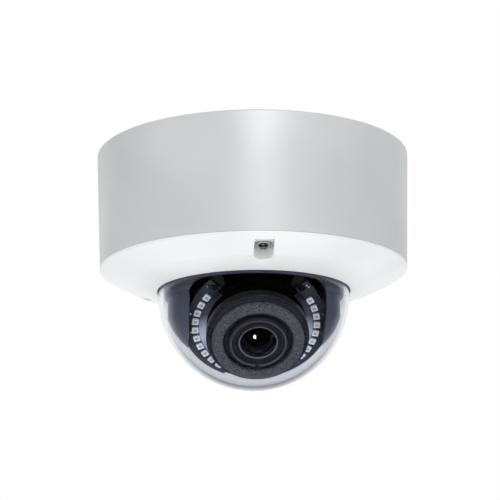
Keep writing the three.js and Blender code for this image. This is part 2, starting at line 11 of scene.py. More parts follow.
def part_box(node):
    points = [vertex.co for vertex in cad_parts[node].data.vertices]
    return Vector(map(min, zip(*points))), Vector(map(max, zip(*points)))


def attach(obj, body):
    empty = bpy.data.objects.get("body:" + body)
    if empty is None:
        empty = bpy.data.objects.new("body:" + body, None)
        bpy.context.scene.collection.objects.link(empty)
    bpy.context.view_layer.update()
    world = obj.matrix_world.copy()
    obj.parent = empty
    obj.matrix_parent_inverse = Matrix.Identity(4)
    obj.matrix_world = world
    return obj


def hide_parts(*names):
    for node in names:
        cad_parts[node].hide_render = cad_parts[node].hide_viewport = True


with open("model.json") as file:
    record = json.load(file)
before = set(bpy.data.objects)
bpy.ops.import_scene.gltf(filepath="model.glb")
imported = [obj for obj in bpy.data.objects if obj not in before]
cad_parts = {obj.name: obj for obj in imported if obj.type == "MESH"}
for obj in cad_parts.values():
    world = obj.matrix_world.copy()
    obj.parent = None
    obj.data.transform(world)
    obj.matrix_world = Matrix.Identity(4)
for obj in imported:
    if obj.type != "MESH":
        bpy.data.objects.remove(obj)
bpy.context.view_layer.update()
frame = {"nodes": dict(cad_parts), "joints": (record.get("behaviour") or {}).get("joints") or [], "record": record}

MM = 0.001
JOINTS = {joint["name"]: joint for joint in frame["joints"]}
LENS_AXIS = Vector(JOINTS["lens_roll"]["axis"])
TILT_CENTRE = Vector(JOINTS["tilt"]["pos_m"])
LENS_TILT = math.atan2(-LENS_AXIS.z, -LENS_AXIS.y)
AIM = Matrix.Translation(TILT_CENTRE) @ Matrix.Rotation(math.pi / 2 + LENS_TILT, 4, "X")

# ---- Sizes in millimetres, from the frame and from the design ----


def high(node, axis):
    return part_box(node)[1][axis] / MM


def low(node, axis):
    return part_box(node)[0][axis] / MM


TOP_R = high("base_housing", 0)
SEAM_Z = low("base_housing", 2)
SEAM_R = high("cover_ring", 0)
COVER_TOP_Z = SEAM_Z - 0.08
LIP_Z = low("cover_ring", 2)
OPENING_R = 44.3
CREASE = (58.4, -61.3)
SHOULDER = (68.2, -56.3)
DOME_Z = TILT_CENTRE.z / MM
DOME_R = DOME_Z - low("dome_bubble", 2)
DOME_INNER = DOME_R - 2.2
FLANGE_R = high("dome_bubble", 0)
GROMMET_R = 11.0
GROMMET_Y = high("cable_grommet", 1) - GROMMET_R
CONDUIT_Z = -26.0
CONDUIT_PLACE = Matrix.Translation((0, 0, CONDUIT_Z * MM)) @ Matrix.Rotation(-math.pi / 2, 4, "X")
SCREW_BORE_R = 2.3
SCREW_ANGLES = (-90, 30, 150)
SCREW_CIRCLE = 58.5
POCKET_HALF = 4.3
POCKET_Z = -56.0
LINER_R = 39.4
COLLAR_R = high("inner_liner", 0)
COLLAR_Z = -68.0
PLATE_BORE_R = 16.6
FACE_S = 18.7
FACE_R = 30.6
FACE_LOW_R = 33.0
FACE_HALF = 29.92
LED_BOARD_S = 19.0
LED_BOARD_TOP = 20.0
LED_CIRCLE = 27.2
LED_CENTRE_Y = -2.2
LED_FIRST = {-1: 34.0, 1: 31.0}
LED_STEP = 9.8
LED_COUNT = 10
SKIRT_R = 23.8
SHROUD_R = 22.6
SHROUD_S = 33.7
FOAM_BACK, FOAM_FRONT = 27.0, 35.6
FOAM_INNER, FOAM_OUTER = 15.3, 20.3
BARREL_R, BARREL_S = 15.0, 36.3
GLASS_R, GLASS_S = 8.0, 31.6

# ---- Mesh helpers ----


def new_object(name, mesh):
    piece = bpy.data.objects.new(name, mesh)
    bpy.context.scene.collection.objects.link(piece)
    return piece


def mesh_object(name, verts, faces):
    """An object from points in millimetres."""
    mesh = bpy.data.meshes.new(name)
    mesh.from_pydata([(x * MM, y * MM, z * MM) for x, y, z in verts], [], faces)
    mesh.update()
    return new_object(name, mesh)


def soft_shade(piece, limit=32):
    """Smooth faces, with sharp edges where the surface turns by more than limit degrees."""
    bm = bmesh.new()
    bm.from_mesh(piece.data)
    bmesh.ops.remove_doubles(bm, verts=bm.verts, dist=1e-7)
    bmesh.ops.recalc_face_normals(bm, faces=bm.faces)
    for face in bm.faces:
        face.smooth = True
    for edge in bm.edges:
        edge.smooth = len(edge.link_faces) == 2 and edge.calc_face_angle(0) < math.radians(limit)
    bm.to_mesh(piece.data)
    bm.free()
    return piece


def rounded(corners, step=12, closed=True):
    """An outline whose corners (r, z, radius) are rounded, with a point about every step degrees."""
    points = []
    count = len(corners)
    for i, corner in enumerate(corners):
        here = Vector(corner[:2])
        radius = corner[2] if len(corner) > 2 else 0
        if radius <= 0 or (not closed and i in (0, count - 1)):
            points.append(tuple(here))
            continue
        before = (Vector(corners[i - 1][:2]) - here).normalized()
        after = (Vector(corners[(i + 1) % count][:2]) - here).normalized()
        half = before.angle(after) / 2
        centre = here + (before + after).normalized() * radius / math.sin(half)
        start = here + before * radius / math.tan(half) - centre
        end = here + after * radius / math.tan(half) - centre
        sweep = start.angle_signed(end)
        steps = max(2, round(abs(math.degrees(sweep)) / step))
        for k in range(steps + 1):
            turn = Matrix.Rotation(-sweep * k / steps, 2)
            points.append(tuple(centre + turn @ start))
    return points


def turned(name, outline, segments=192, closed=True):
    """A solid of revolution about Z. An open outline starts and ends on the axis."""
    verts, faces, rings = [], [], []
    for r, z in outline:
        if r < 1e-6:
            rings.append([len(verts)] * segments)
            verts.append((0, 0, z))
            continue
        rings.append(list(range(len(verts), len(verts) + segments)))
        for k in range(segments):
            angle = 2 * math.pi * k / segments
            verts.append((r * math.cos(angle), r * math.sin(angle), z))
    pairs = list(zip(rings, rings[1:] + rings[:1])) if closed else list(zip(rings, rings[1:]))
    for a, b in pairs:
        for k in range(segments):
            j = (k + 1) % segments
            corners = [a[k], a[j], b[j], b[k]]
            unique = list(dict.fromkeys(corners))
            if len(unique) > 2:
                faces.append(unique)
    return soft_shade(mesh_object(name, verts, faces))


def prism(name, outline, bottom, top):
    """A solid from a flat outline, between two heights."""
    count = len(outline)
    verts = [(x, y, bottom) for x, y in outline] + [(x, y, top) for x, y in outline]
    faces = [list(range(count - 1, -1, -1)), list(range(count, 2 * count))]
    faces += [[i, (i + 1) % count, count + (i + 1) % count, count + i] for i in range(count)]
    return soft_shade(mesh_object(name, verts, faces))


def arc(radius, start, end, steps, x=0.0, y=0.0):
    turns = [math.radians(start + (end - start) * k / steps) for k in range(steps + 1)]
    return [(x + radius * math.cos(t), y + radius * math.sin(t)) for t in turns]


def circle(radius, steps=64, x=0.0, y=0.0):
    return arc(radius, 0, 360, steps, x, y)[:-1]


def box_piece(name, low_corner, high_corner, edge=0.0):
    (x0, y0, z0), (x1, y1, z1) = low_corner, high_corner
    piece = prism(name, [(x0, y0), (x1, y0), (x1, y1), (x0, y1)], z0, z1)
    return bevelled(piece, edge) if edge else piece


def on_circle(radius, degrees):
    return radius * math.cos(math.radians(degrees)), radius * math.sin(math.radians(degrees))


def moved(piece, x=0.0, y=0.0, z=0.0, turn=0.0):
    """Moves the mesh itself by millimetres, after a turn in degrees about Z."""
    rotation = Matrix.Rotation(math.radians(turn), 4, "Z")
    piece.data.transform(Matrix.Translation((x * MM, y * MM, z * MM)) @ rotation)
    return piece


def aimed(piece):
    """Puts a piece that was drawn along the lens axis in its place."""
    piece.data.transform(AIM)
    return piece


def apply_modifiers(piece):
    depsgraph = bpy.context.evaluated_depsgraph_get()
    mesh = bpy.data.meshes.new_from_object(piece.evaluated_get(depsgraph))
    piece.modifiers.clear()
    piece.data = mesh
    return piece


def bevelled(piece, width, segments=2, limit=40):
    bevel = piece.modifiers.new("edge", "BEVEL")
    bevel.width = width * MM
    bevel.segments = segments
    bevel.limit_method = "ANGLE"
    bevel.angle_limit = math.radians(limit)
    bevel.use_clamp_overlap = True
    return soft_shade(apply_modifiers(piece))


def combined(piece, other, operation):
    boolean = piece.modifiers.new("join", "BOOLEAN")
    boolean.operation = operation
    boolean.solver = "EXACT"
    boolean.object = other
    apply_modifiers(piece)
    bpy.data.objects.remove(other)
    return soft_shade(piece)


def cut(piece, other):
    return combined(piece, other, "DIFFERENCE")


def fused(piece, other):
    return combined(piece, other, "UNION")


def joined(name, pieces):
    """One object from several closed solids, each keeping its own material."""
    materials = []
    bm = bmesh.new()
    for piece in pieces:
        start = len(bm.faces)
        bm.from_mesh(piece.data)
        bm.faces.ensure_lookup_table()
        for face in bm.faces[start:]:
            material = piece.data.materials[face.material_index]
            if material not in materials:
                materials.append(material)
            face.material_index = materials.index(material)
    mesh = bpy.data.meshes.new(name)
    bm.to_mesh(mesh)
    bm.free()
    for material in materials:
        mesh.materials.append(material)
    for piece in pieces:
        bpy.data.objects.remove(piece)
    return new_object(name, mesh)


# ---- Materials ----


def principled(name, color, roughness, **inputs):
    material = bpy.data.materials.new(name)
    material.use_nodes = True
    shader = material.node_tree.nodes["Principled BSDF"]
    shader.inputs["Base Color"].default_value = (*color, 1)
    shader.inputs["Roughness"].default_value = roughness
    for key, value in inputs.items():
        shader.inputs[key.replace("_", " ")].default_value = value
    return material, material.node_tree, shader


def texture(tree, kind, scale, **inputs):
    """A texture in object coordinates, whose scale is in features per metre."""
    coordinates = tree.nodes.new("ShaderNodeTexCoord")
    node = tree.nodes.new(kind)
    node.inputs["Scale"].default_value = scale
    for key, value in inputs.items():
        node.inputs[key.replace("_", " ")].default_value = value
    tree.links.new(coordinates.outputs["Object"], node.inputs["Vector"])
    return node


def shade_ramp(tree, source, stops):
    ramp = tree.nodes.new("ShaderNodeValToRGB")
    elements = ramp.color_ramp.elements
    while len(elements) < len(stops):
        elements.new(0.5)
    for element, (position, color) in zip(elements, stops):
        element.position = position
        element.color = (*color, 1)
    tree.links.new(source, ramp.inputs["Fac"])
    return ramp.outputs["Color"]


def value_range(tree, source, low_value, high_value):
    node = tree.nodes.new("ShaderNodeMapRange")
    node.inputs["To Min"].default_value = low_value
    node.inputs["To Max"].default_value = high_value
    tree.links.new(source, node.inputs["Value"])
    return node.outputs["Result"]


def bump(tree, shader, source, depth, strength=1.0):
    """Bumps of the given depth in millimetres."""
    node = tree.nodes.new("ShaderNodeBump")
    node.inputs["Strength"].default_value = strength
    node.inputs["Distance"].default_value = depth * MM
    tree.links.new(source, node.inputs["Height"])
    tree.links.new(node.outputs["Normal"], shader.inputs["Normal"])
    return node


def tinted(color, factor):
    return tuple(min(1.0, channel * factor) for channel in color)


def grained(name, color, roughness, grain, depth, contrast=0.04, spread=0.05, **inputs):
    """Paint or moulded plastic: fine grain in its bump, with slight changes of tone and gloss."""
    material, tree, shader = principled(name, color, roughness, **inputs)
    fine = texture(tree, "ShaderNodeTexNoise", grain, Detail=3.0, Roughness=0.55)
    broad = texture(tree, "ShaderNodeTexNoise", grain / 60, Detail=2.0)
    tones = [(0.3, tinted(color, 1 - contrast)), (0.7, tinted(color, 1 + contrast))]
    tree.links.new(shade_ramp(tree, broad.outputs["Fac"], tones), shader.inputs["Base Color"])
    gloss = value_range(tree, fine.outputs["Fac"], roughness - spread, roughness + spread)
    tree.links.new(gloss, shader.inputs["Roughness"])
    bump(tree, shader, fine.outputs["Fac"], depth)
    return material


def foam_material():
    """Closed-cell foam: open grains that catch the light on a dark grey skin."""
    dark, middle, pale = (0.022, 0.022, 0.023), (0.082, 0.082, 0.085), (0.24, 0.24, 0.245)
    material, tree, shader = principled("foam_skin", dark, 0.9)
    cells = texture(tree, "ShaderNodeTexVoronoi", 2600.0)
    noise = texture(tree, "ShaderNodeTexNoise", 1900.0, Detail=6.0, Roughness=0.7)
    color = shade_ramp(tree, noise.outputs["Fac"], [(0.36, dark), (0.52, middle), (0.66, pale)])
    tree.links.new(color, shader.inputs["Base Color"])
    height = tree.nodes.new("ShaderNodeMath")
    height.operation = "ADD"
    tree.links.new(cells.outputs["Distance"], height.inputs[0])
    tree.links.new(noise.outputs["Fac"], height.inputs[1])
    bump(tree, shader, height.outputs[0], 0.25)
    return material


def steel_material(name, color=(0.62, 0.61, 0.60), roughness=0.28):
    material, tree, shader = principled(name, color, roughness, Metallic=1.0)
    lines = texture(tree, "ShaderNodeTexNoise", 900.0, Detail=4.0)
    gloss = value_range(tree, lines.outputs["Fac"], roughness - 0.08, roughness + 0.12)
    tree.links.new(gloss, shader.inputs["Roughness"])
    tones = [(0.3, tinted(color, 0.9)), (0.7, tinted(color, 1.06))]
    tree.links.new(shade_ramp(tree, lines.outputs["Fac"], tones), shader.inputs["Base Color"])
    bump(tree, shader, lines.outputs["Fac"], 0.01)
    return material


def clear_material(name, color, ior, roughness=0.0, haze=0.0):
    """Clear plastic or glass that lets lamps light what is behind it."""
    material, tree, shader = principled(name, color, roughness, Transmission_Weight=1.0, IOR=ior)
    if haze:
        smears = texture(tree, "ShaderNodeTexNoise", 120.0, Detail=3.0)
        gloss = value_range(tree, smears.outputs["Fac"], roughness, roughness + haze)
        tree.links.new(gloss, shader.inputs["Roughness"])
    rays = tree.nodes.new("ShaderNodeLightPath")
    see_through = tree.nodes.new("ShaderNodeBsdfTransparent")
    see_through.inputs["Color"].default_value = (*tinted(color, 0.96), 1)
    surface = shader.outputs["BSDF"]
    for ray in ("Is Shadow Ray", "Is Diffuse Ray"):
        mix = tree.nodes.new("ShaderNodeMixShader")
        tree.links.new(rays.outputs[ray], mix.inputs["Fac"])
        tree.links.new(surface, mix.inputs[1])
        tree.links.new(see_through.outputs["BSDF"], mix.inputs[2])
        surface = mix.outputs["Shader"]
    output = next(n for n in tree.nodes if n.type == "OUTPUT_MATERIAL")
    tree.links.new(surface, output.inputs["Surface"])
    return material


def cone_material():
    """Glossy plating whose colour is painted light: a painted reflection, pale beside the lower LEDs, and painted
    shade, dark towards the top of the cone.
    """
    lowest, highest = -94 * MM, -70 * MM
    dark, middle, pale = (0.03, 0.03, 0.035), (0.10, 0.105, 0.115), (0.62, 0.64, 0.67)
    material, tree, shader = principled("cone_painted_reflection", dark, 0.35)
    coordinates = tree.nodes.new("ShaderNodeTexCoord")
    split = tree.nodes.new("ShaderNodeSeparateXYZ")
    tree.links.new(coordinates.outputs["Object"], split.inputs[0])
    level = tree.nodes.new("ShaderNodeMapRange")
    level.inputs["From Min"].default_value = lowest
    level.inputs["From Max"].default_value = highest
    tree.links.new(split.outputs["Z"], level.inputs["Value"])
    # Painted reflection and painted shade along the cone's height: a pale band beside the lower LEDs, dark towards
    # the top.
    stops = [(0.0, middle), (0.28, pale), (0.4, pale), (0.62, middle), (0.9, dark)]
    tree.links.new(shade_ramp(tree, level.outputs["Result"], stops), shader.inputs["Base Color"])
    lines = texture(tree, "ShaderNodeTexNoise", 2600.0)
    bump(tree, shader, lines.outputs["Fac"], 0.01)
    return material


def board_material(name, mask, trace):
    """Solder mask with faint copper traces under it."""
    material, tree, shader = principled(name, mask, 0.35)
    tracks = texture(tree, "ShaderNodeTexBrick", 700.0, Mortar_Size=0.05)
    tracks.inputs["Color1"].default_value = (*mask, 1)
    tracks.inputs["Color2"].default_value = (*mask, 1)
    tracks.inputs["Mortar"].default_value = (*trace, 1)
    tree.links.new(tracks.outputs["Color"], shader.inputs["Base Color"])
    weave = texture(tree, "ShaderNodeTexNoise", 1500.0, Detail=2.0)
    bump(tree, shader, weave.outputs["Fac"], 0.02)
    return material


def phosphor_material():
    """LED face: a yellowish die under clear gel."""
    material, tree, shader = principled("led_gel", (0.80, 0.78, 0.62), 0.2, Coat_Weight=0.6)
    spots = texture(tree, "ShaderNodeTexNoise", 1500.0, Detail=2.0)
    tones = [(0.35, (0.42, 0.40, 0.30)), (0.65, (0.66, 0.64, 0.52))]
    tree.links.new(shade_ramp(tree, spots.outputs["Fac"], tones), shader.inputs["Base Color"])
    return material


PAINT_BASE = grained("base_paint", (0.655, 0.675, 0.68), 0.42, 900.0, 0.012, 0.08, 0.05, Metallic=0.22)
PAINT_COVER = grained("cover_paint", (0.765, 0.78, 0.785), 0.33, 900.0, 0.01, 0.08, 0.05)
DOME_CLEAR = clear_material("polycarbonate", (0.92, 0.945, 1.0), 1.5)
LINER_BLACK = grained("liner_black", (0.088, 0.093, 0.108), 0.3, 2200.0, 0.006, 0.1)
MATTE_BLACK = grained("matte_black", (0.010, 0.010, 0.011), 0.55, 1800.0, 0.02, 0.1)
SHROUD_BLACK = grained("shroud_black", (0.022, 0.023, 0.026), 0.28, 2600.0, 0.01, 0.1)
# Cone colour holds a painted reflection and painted shade.
CONE_PAINTED_REFLECTION = cone_material()
# Pale greys on the barrel bevel and on the ring that holds the glass: painted highlights.
BARREL_EDGE_HIGHLIGHT = grained("barrel_edge_painted_highlight", (0.065, 0.065, 0.07), 0.35, 2600.0, 0.006, 0.1)
RING_EDGE_HIGHLIGHT = grained("ring_edge_painted_highlight", (0.16, 0.16, 0.17), 0.3, 2600.0, 0.006, 0.1)
LENS_COATING = grained("lens_inside", (0.008, 0.008, 0.010), 0.18, 1500.0, 0.002, 0.1, 0.05)
# Near-total black without gloss: painted shade for the dark hollow in the shroud neck.
NECK_PAINTED_SHADE = grained("neck_painted_shade", (0.002, 0.002, 0.002), 0.9, 1800.0, 0.02, 0.1, Specular_IOR_Level=0.1)
LENS_BLACK = grained("lens_black_skin", (0.020, 0.020, 0.022), 0.38, 2600.0, 0.01, 0.1)
FOAM = foam_material()
RUBBER = grained("silicone_rubber", (0.02, 0.02, 0.02), 0.7, 1200.0, 0.02, 0.1)
STEEL = steel_material("plated_steel")
ALUMINIUM = steel_material("plain_aluminium", (0.66, 0.67, 0.68), 0.38)
LED_BOARD = board_material("led_board_mask", (0.030, 0.034, 0.040), (0.055, 0.060, 0.068))
GREEN_BOARD = board_material("green_board_mask", (0.02, 0.16, 0.06), (0.05, 0.26, 0.11))
IVORY = grained("ivory_nylon", (0.78, 0.75, 0.66), 0.45, 900.0, 0.02, 0.03)
LED_WHITE = grained("led_ceramic", (0.93, 0.93, 0.93), 0.35, 3000.0, 0.01, 0.02)
LED_GEL = phosphor_material()
LENS_GLASS = clear_material("coated_glass", (0.80, 0.83, 0.92), 1.62, 0.05)

SLOT_MATERIALS = {
    "base_paint": PAINT_BASE,
    "cover_paint": PAINT_COVER,
    "clear_dome": DOME_CLEAR,
    "liner_plastic": LINER_BLACK,
    "black_plastic": MATTE_BLACK,
    "lens_black": LENS_BLACK,
    "lens_glass": LENS_GLASS,
    "led_board": LED_BOARD,
    "circuit_board": GREEN_BOARD,
    "connector_plastic": IVORY,
    "foam": FOAM,
    "rubber": RUBBER,
    "steel": STEEL,
    "aluminium": ALUMINIUM,
}


def finish_piece(piece, body, slot, nodes, material=None):
    """Gives a piece the material of its slot if it has none, hangs it on its body, and hides the CAD nodes that it
    stands for.
    """
    if not piece.data.materials:
        piece.data.materials.append(material or SLOT_MATERIALS[slot])
    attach(piece, body)
    if nodes:
        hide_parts(*nodes)
    return piece


def painted(piece, material):
    piece.data.materials.append(material)
    return piece


# ---- Base ----


def base_shell():
    outline = rounded([
        (0, 0), (TOP_R, 0, 0.9), (SEAM_R, SEAM_Z, 0.12), (SEAM_R - 3, SEAM_Z, 0.2),
        (TOP_R - 3, -4, 1.2), (0, -4),
    ], closed=False)
    shell = turned("base_shell", outline, 256, closed=False)
    for angle in SCREW_ANGLES:
        x, y = on_circle(SCREW_CIRCLE, angle)
        boss = moved(prism("boss", circle(5, 40), SEAM_Z + 0.6, -3), x, y)
        rib = moved(box_piece("rib", (SCREW_CIRCLE, -1.2, SEAM_Z + 6), (SEAM_R - 1.5, 1.2, -3)), turn=angle)
        bore = moved(prism("bore", circle(SCREW_BORE_R, 24), SEAM_Z - 1, SEAM_Z + 18), x, y)
        shell = cut(fused(fused(shell, boss), rib), bore)
    for angle in (60, 120, 230, 310):
        x, y = on_circle(60, angle)
        hole = turned("hole", [(0, -6), (2.5, -6), (2.5, -1.2), (3.7, 0.3), (0, 0.3)], 40, closed=False)
        shell = cut(shell, moved(hole, x, y))
    shell = cut(shell, moved(prism("cable_hole", circle(9, 64), -6, 1), 0, GROMMET_Y))
    conduit = prism("conduit_hole", circle(12.3, 64), 60, 80)
    conduit.data.transform(CONDUIT_PLACE)
    return finish_piece(bevelled(cut(shell, conduit), 0.15, 2), "base", "base_paint", ["base_housing"])


def cable_grommet():
    outline = rounded([
        (3.6, -6.5, 0.6), (GROMMET_R, -6.5, 0.8), (GROMMET_R, -4.3, 0.4), (8.7, -4.3, 0.2),
        (8.7, -0.2, 0.4), (5.3, -0.2, 0.4), (3.6, -1.9, 0.5),
    ])
    piece = moved(turned("grommet", outline, 96), 0, GROMMET_Y)
    return finish_piece(piece, "base", "rubber", ["cable_grommet"])


def conduit_plug():
    outline = rounded([(0, 65), (9, 65, 0.4), (12, 66, 0.4), (12, 70.6, 0.5), (0, 70.6)], closed=False)
    piece = turned("side_plug", outline, 96, closed=False)
    piece = cut(piece, box_piece("slot", (-7, -0.9, 69), (7, 0.9, 72)))
    piece = bevelled(piece, 0.15)
    piece.data.transform(CONDUIT_PLACE)
    return finish_piece(piece, "base", "base_paint", ["conduit_plug"])


# ---- Cover and dome ----


def pocket_outline(half, inner, outer):
    return [(outer, -half), (outer, half)] + arc(half, 90, 270, 24, inner)


def cover_shell():
    tongue = SEAM_R - 3.3
    outline = rounded([
        (OPENING_R, LIP_Z + 0.35, 0.15), (OPENING_R + 0.3, LIP_Z, 0.2), (*CREASE, 2.5), (*SHOULDER, 1.4),
        (SEAM_R, -54.8, 0.9), (SEAM_R, COVER_TOP_Z, 0.12), (tongue, COVER_TOP_Z, 0.1),
        (tongue, SEAM_Z + 3, 0.3), (tongue - 2.2, SEAM_Z + 3, 0.3), (tongue - 2.2, -55.2, 0.8),
        (CREASE[0] - 0.4, CREASE[1] + 2, 1.5), (FLANGE_R + 1.6, -60.2), (FLANGE_R + 0.6, -61),
        (OPENING_R, -61, 0.15),
    ])
    shell = turned("cover_shell", outline, 256)
    reach = SHOULDER[0] - 0.3
    envelope = [(0, LIP_Z), (OPENING_R + 0.3, LIP_Z), CREASE, (reach, SHOULDER[1]), (reach, -50), (0, -50)]
    for angle in SCREW_ANGLES:
        wall = prism("wall", pocket_outline(POCKET_HALF + 2, SCREW_CIRCLE, 65.6), -62, SEAM_Z + 0.2)
        wall = moved(wall, turn=angle)
        wall = combined(wall, turned("envelope", envelope, 256, closed=False), "INTERSECT")
        hollow = prism("hollow", pocket_outline(POCKET_HALF, SCREW_CIRCLE, 67.5), -70, POCKET_Z)
        hollow = moved(hollow, turn=angle)
        bore = moved(prism("bore", circle(SCREW_BORE_R, 24), -60, -50), *on_circle(SCREW_CIRCLE, angle))
        shell = cut(cut(fused(shell, wall), hollow), bore)
    for angle in SCREW_ANGLES:
        x, y = on_circle(54.6, angle + 180)
        post = moved(prism("post", circle(2.6, 24), -61.2, -57.5), x, y)
        shell = cut(fused(shell, post), moved(prism("bore", circle(1.35, 16), -60.2, -54), x, y))
    return finish_piece(bevelled(shell, 0.22, 3, 50), "base", "cover_paint", ["cover_ring"])


def button_screw(index, angle):
    """Pan-head security screw: six-lobed socket with a pin in its middle."""
    under = POCKET_Z - 0.2
    outline = rounded([
        (0, under - 2.3), (2.2, under - 2.3, 1.5), (3.6, under - 1.1, 1.0), (3.6, under, 0.15),
        (1.95, under), (1.95, -45), (1.35, -44), (0, -44),
    ], 8, closed=False)
    screw = turned(f"cover_screw_{index}", outline, 64, closed=False)
    turns = [2 * math.pi * k / 72 for k in range(72)]
    lobes = [(1.35 + 0.32 * math.cos(6 * t), t) for t in turns]
    socket_outline = [(r * math.cos(t), r * math.sin(t)) for r, t in lobes]
    socket = prism("socket", socket_outline, under - 3, under - 0.9)
    socket = cut(socket, prism("pin", circle(0.5, 20), under - 1.9, under))
    screw = bevelled(cut(screw, socket), 0.06, 2)
    screw = moved(screw, *on_circle(SCREW_CIRCLE, angle))
    return finish_piece(screw, "base", "steel", [f"cover_screw_{index}"])


def sphere_outline(radius, start, end, steps, z, squash=1.0):
    return [(x, z + y * squash) for x, y in arc(radius, start, end, steps)]


def clear_dome():
    flange_low = -59.6
    top = flange_low + 2.2
    outline = [(0, DOME_Z - DOME_R)] + sphere_outline(DOME_R, -88, 0, 44, DOME_Z)
    outline += rounded([
        (DOME_R, DOME_Z), (DOME_R, flange_low, 0.3), (FLANGE_R, flange_low, 0.3), (FLANGE_R, top, 0.3),
        (DOME_INNER, top, 0.4), (DOME_INNER, DOME_Z),
    ], closed=False)[1:-1]
    outline += sphere_outline(DOME_INNER, 0, -88, 44, DOME_Z) + [(0, DOME_Z - DOME_INNER)]
    piece = turned("dome_clear", outline, 192, closed=False)
    return finish_piece(piece, "base", "clear_dome", ["dome_bubble"])


# ---- Liner ----


def liner():
    radius, depth, centre, wall = 40.9, 30.2, -69.6, 1.8
    top = high("inner_liner", 2)
    start = -math.degrees(math.acos(LINER_R / radius))
    inner_start = -math.degrees(math.acos((LINER_R - wall) / (radius - wall)))
    squash = depth / radius
    inner_squash = (depth - wall) / (radius - wall)
    outline = [(0, centre - depth)] + sphere_outline(radius, -88, start, 36, centre, squash)
    outline += rounded([
        outline[-1], (LINER_R, COLLAR_Z - 0.9, 0.3), (COLLAR_R, COLLAR_Z, 0.4), (COLLAR_R, top, 0.3),
        (COLLAR_R - 3.2, top, 0.3), (LINER_R - wall, -76),
    ], closed=False)[1:]
    outline += sphere_outline(radius - wall, inner_start, -88, 36, centre, inner_squash)
    outline += [(0, centre - depth + wall)]
    piece = turned("liner", outline, 192, closed=False)
    for side in (-1, 1):
        lug = box_piece("lug", (32.3, -5, top - 8), (38.8, 5, top - 5), 0.3)
        piece = fused(piece, moved(lug, turn=90 - 90 * side))
    half, window_top, corner, window_rear = 30, -64.6, 6, -35
    opening = [(half, -125), (half, window_top - corner)]
    opening += arc(corner, 0, 90, 12, half - corner, window_top - corner)[1:]
    opening += arc(corner, 90, 180, 12, corner - half, window_top - corner)
    opening += [(-half, -125)]
    window = prism("window", opening, window_rear, 60)
    window.data.transform(Matrix.Rotation(math.pi / 2, 4, "X"))
    piece = bevelled(cut(piece, window), 0.35, 3, 45)
    return finish_piece(piece, "pan_stage", "liner_plastic", ["inner_liner"])


# ---- Front of the tilting module, drawn along the lens axis ----


def plate_edge(top, bottom):
    """Right-hand edge of the face plate, between two angles: straight beside the liner, wider below."""
    upper = math.degrees(math.acos(FACE_HALF / FACE_R))
    lower = math.degrees(math.acos(FACE_HALF / FACE_LOW_R))
    return arc(FACE_R, top, upper, 32) + arc(FACE_LOW_R, -lower, bottom, 32)


def face_plate():
    edge = plate_edge(90, -90)
    outline = edge + [(-x, y) for x, y in reversed(edge[1:-1])]
    piece = prism("face_plate", outline, 17, FACE_S)
    piece = cut(piece, prism("bore", circle(PLATE_BORE_R, 96), 15, 20))
    piece = cut(piece, prism("notch", [(-12, 12), (12, 12), (19, 34), (-19, 34)], 15, 20))
    piece = aimed(bevelled(piece, 0.25))
    return finish_piece(piece, "tilt_stage", "black_plastic", ["led_faceplate"], MATTE_BLACK)


def led_chip():
    """One surface-mounted LED: a white ceramic cup with gel in it and a plated end on each side."""
    along, radial, bottom, top = 3.5, 2.8, LED_BOARD_TOP, LED_BOARD_TOP + 0.78
    half = along / 2 - 0.25
    cup = box_piece("cup", (-radial / 2, -half, bottom), (radial / 2, half, top), 0.08)
    cup = cut(cup, prism("well", circle(0.85, 24), top - 0.25, top + 1))
    gel = prism("gel", circle(0.83, 24), top - 0.3, top - 0.1)
    side = radial / 2 - 0.2
    ends = [box_piece("end", (-side, s - 0.2, bottom), (side, s + 0.2, bottom + 0.3), 0.05)
            for s in (-along / 2 + 0.1, along / 2 - 0.1)]
    return [painted(cup, LED_WHITE), painted(gel, LED_GEL)] + [painted(end, STEEL) for end in ends]


def small_part(x, y, turn, length, width, height, material):
    low_corner = (-length / 2, -width / 2, LED_BOARD_TOP)
    high_corner = (length / 2, width / 2, LED_BOARD_TOP + height)
    piece = box_piece("part", low_corner, high_corner, 0.05)
    return painted(moved(piece, x, y, turn=turn), material)


def board_screw(x, y):
    seat = LED_BOARD_TOP
    outline = rounded([(0, seat + 0.9), (1.1, seat + 0.9, 0.4), (1.7, seat, 0.0), (0, seat)], closed=False)
    head = turned("head", outline, 32, closed=False)
    for turn in (0, 90):
        head = cut(head, moved(box_piece("cross", (-1, -0.2, seat + 0.4), (1, 0.2, seat + 2)), turn=turn))
    return painted(moved(head, x, y), MATTE_BLACK)


def led_board(side, name):
    outline = plate_edge(46, -66) + arc(SKIRT_R + 0.3, -66, 48, 48)
    board = bevelled(prism("board", outline, LED_BOARD_S, LED_BOARD_TOP), 0.12)
    pieces = [painted(board, LED_BOARD)]
    for k in range(LED_COUNT):
        angle = LED_FIRST[side] - LED_STEP * k
        x, y = on_circle(LED_CIRCLE, angle)
        pieces += [moved(part, x, y + LED_CENTRE_Y, turn=angle) for part in led_chip()]
    for k in range(0, LED_COUNT, 2):
        angle = LED_FIRST[side] - LED_STEP * (k + 0.4)
        x, y = on_circle(29.4, angle)
        pieces.append(small_part(x, y, angle + 90, 1.0, 0.5, 0.4, MATTE_BLACK))
    for angle, radius in ((43, 29.0), (40.5, 29.2), (8, 29.6), (-12, 29.5)):
        x, y = on_circle(radius, angle)
        pieces.append(small_part(x, y, angle, 0.6, 0.5, 0.3, LED_WHITE))
    pieces.append(board_screw(*on_circle(26.6, 43.5)))
    piece = joined(name, pieces)
    if side < 0:
        piece.data.transform(Matrix.Scale(-1, 4, (1, 0, 0)))
        piece.data.flip_normals()
    return finish_piece(aimed(piece), "tilt_stage", "led_board", [name.replace("leds", "led_board")])


def light_sensor():
    x, y = on_circle(28.5, 42)
    outline = rounded([
        (0, 20.3), (1, 20.3, 0.1), (1, 21.4, 0.2), (0.7, 21.4), (0.6, 21.2), (0, 21.2),
    ], closed=False)
    piece = moved(turned("light_cell", outline, 32, closed=False), -x, y)
    return finish_piece(aimed(piece), "tilt_stage", "connector_plastic", ["light_sensor"], LED_BOARD)


